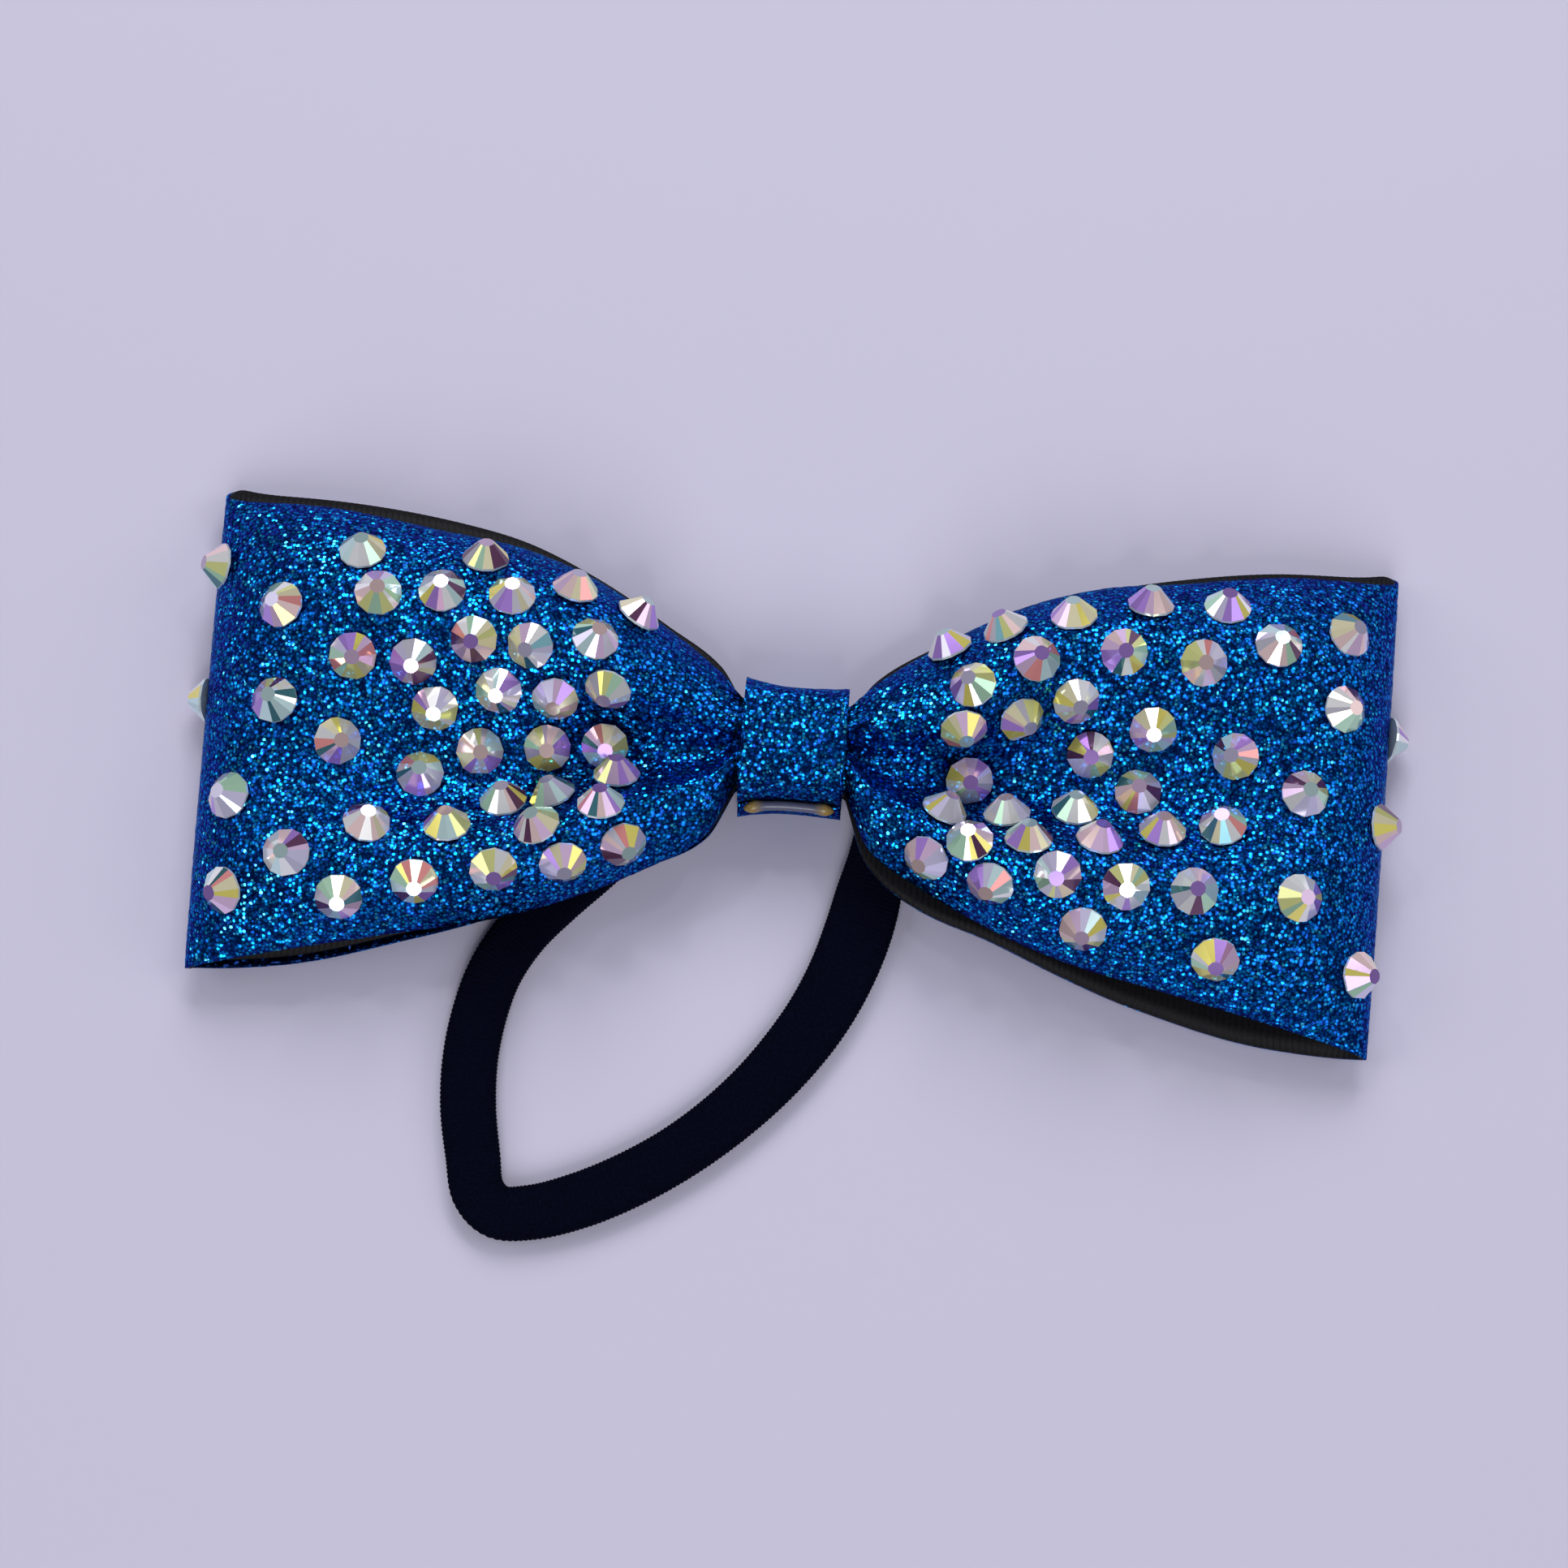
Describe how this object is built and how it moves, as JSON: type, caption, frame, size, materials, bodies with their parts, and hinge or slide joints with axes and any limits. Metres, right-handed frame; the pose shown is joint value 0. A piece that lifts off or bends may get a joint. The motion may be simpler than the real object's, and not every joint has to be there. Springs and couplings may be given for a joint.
{
  "type": "cheer hair bow",
  "caption": "Wide glitter ribbon bow lined with grosgrain, pinched by a centre band, set with flat-back rhinestones and tied to a knitted hair elastic.",
  "frame": {"origin": "centre of the bow's footprint on the surface that its back lies on, which is behind the middle of the centre band", "axes": "+X along the bow, from one loop to the other, +Y across the ribbon away from the hair elastic, +Z out of the bow's front"},
  "size_m": [0.1857, 0.1126, 0.0234],
  "materials": {
    "glitter": "blue hexagonal glitter on ribbon, sparkling",
    "grosgrain": "black ribbed grosgrain, satin",
    "thread": "black waxed thread",
    "glue": "clear glue with amber ends",
    "knit": "black knitted cover, matt",
    "rubber_core": "pale natural rubber",
    "crystal": "foil-backed faceted crystal with an aurora coating"
  },
  "bodies": {
    "bow": {"band_glue_bead": "glue", "centre_band": "glitter", "pinch_thread": "thread", "ribbon_glitter_face": "glitter", "ribbon_grosgrain_lining": "grosgrain", "stone_left_01": "crystal", "stone_left_02": "crystal", "stone_left_04": "crystal", "stone_left_05": "crystal", "stone_left_07": "crystal", "stone_left_08": "crystal", "stone_left_10": "crystal", "stone_left_11": "crystal", "stone_left_13": "crystal", "stone_left_14": "crystal", "stone_left_16": "crystal", "stone_left_17": "crystal", "stone_left_19": "crystal", "stone_left_22": "crystal", "stone_left_23": "crystal", "stone_left_28": "crystal", "stone_left_29": "crystal", "stone_left_31": "crystal", "stone_left_32": "crystal", "stone_left_34": "crystal", "stone_left_35": "crystal", "stone_left_37": "crystal", "stone_left_38": "crystal", "stone_left_40": "crystal", "stone_right_01": "crystal", "stone_right_02": "crystal", "stone_right_04": "crystal", "stone_right_05": "crystal", "stone_right_07": "crystal", "stone_right_08": "crystal", "stone_right_10": "crystal", "stone_right_13": "crystal", "stone_right_14": "crystal", "stone_right_16": "crystal", "stone_right_17": "crystal", "stone_right_19": "crystal", "stone_right_22": "crystal", "stone_right_23": "crystal", "stone_right_26": "crystal", "stone_right_28": "crystal", "stone_right_29": "crystal", "stone_right_31": "crystal", "stone_right_32": "crystal", "stone_right_34": "crystal", "stone_right_35": "crystal", "stone_right_37": "crystal", "stone_right_38": "crystal", "stone_right_40": "crystal"},
    "elastic": {"elastic_cover": "knit", "elastic_core": "rubber_core", "elastic_joint": "rubber_core"}
  },
  "joints": [
    {"name": "elastic_swing", "type": "hinge", "parent": "bow", "child": "elastic", "pos_m": [0, 0.0006, 0.0037], "axis": [1, 0, 0], "range_deg": [0, 165]}
  ]
}
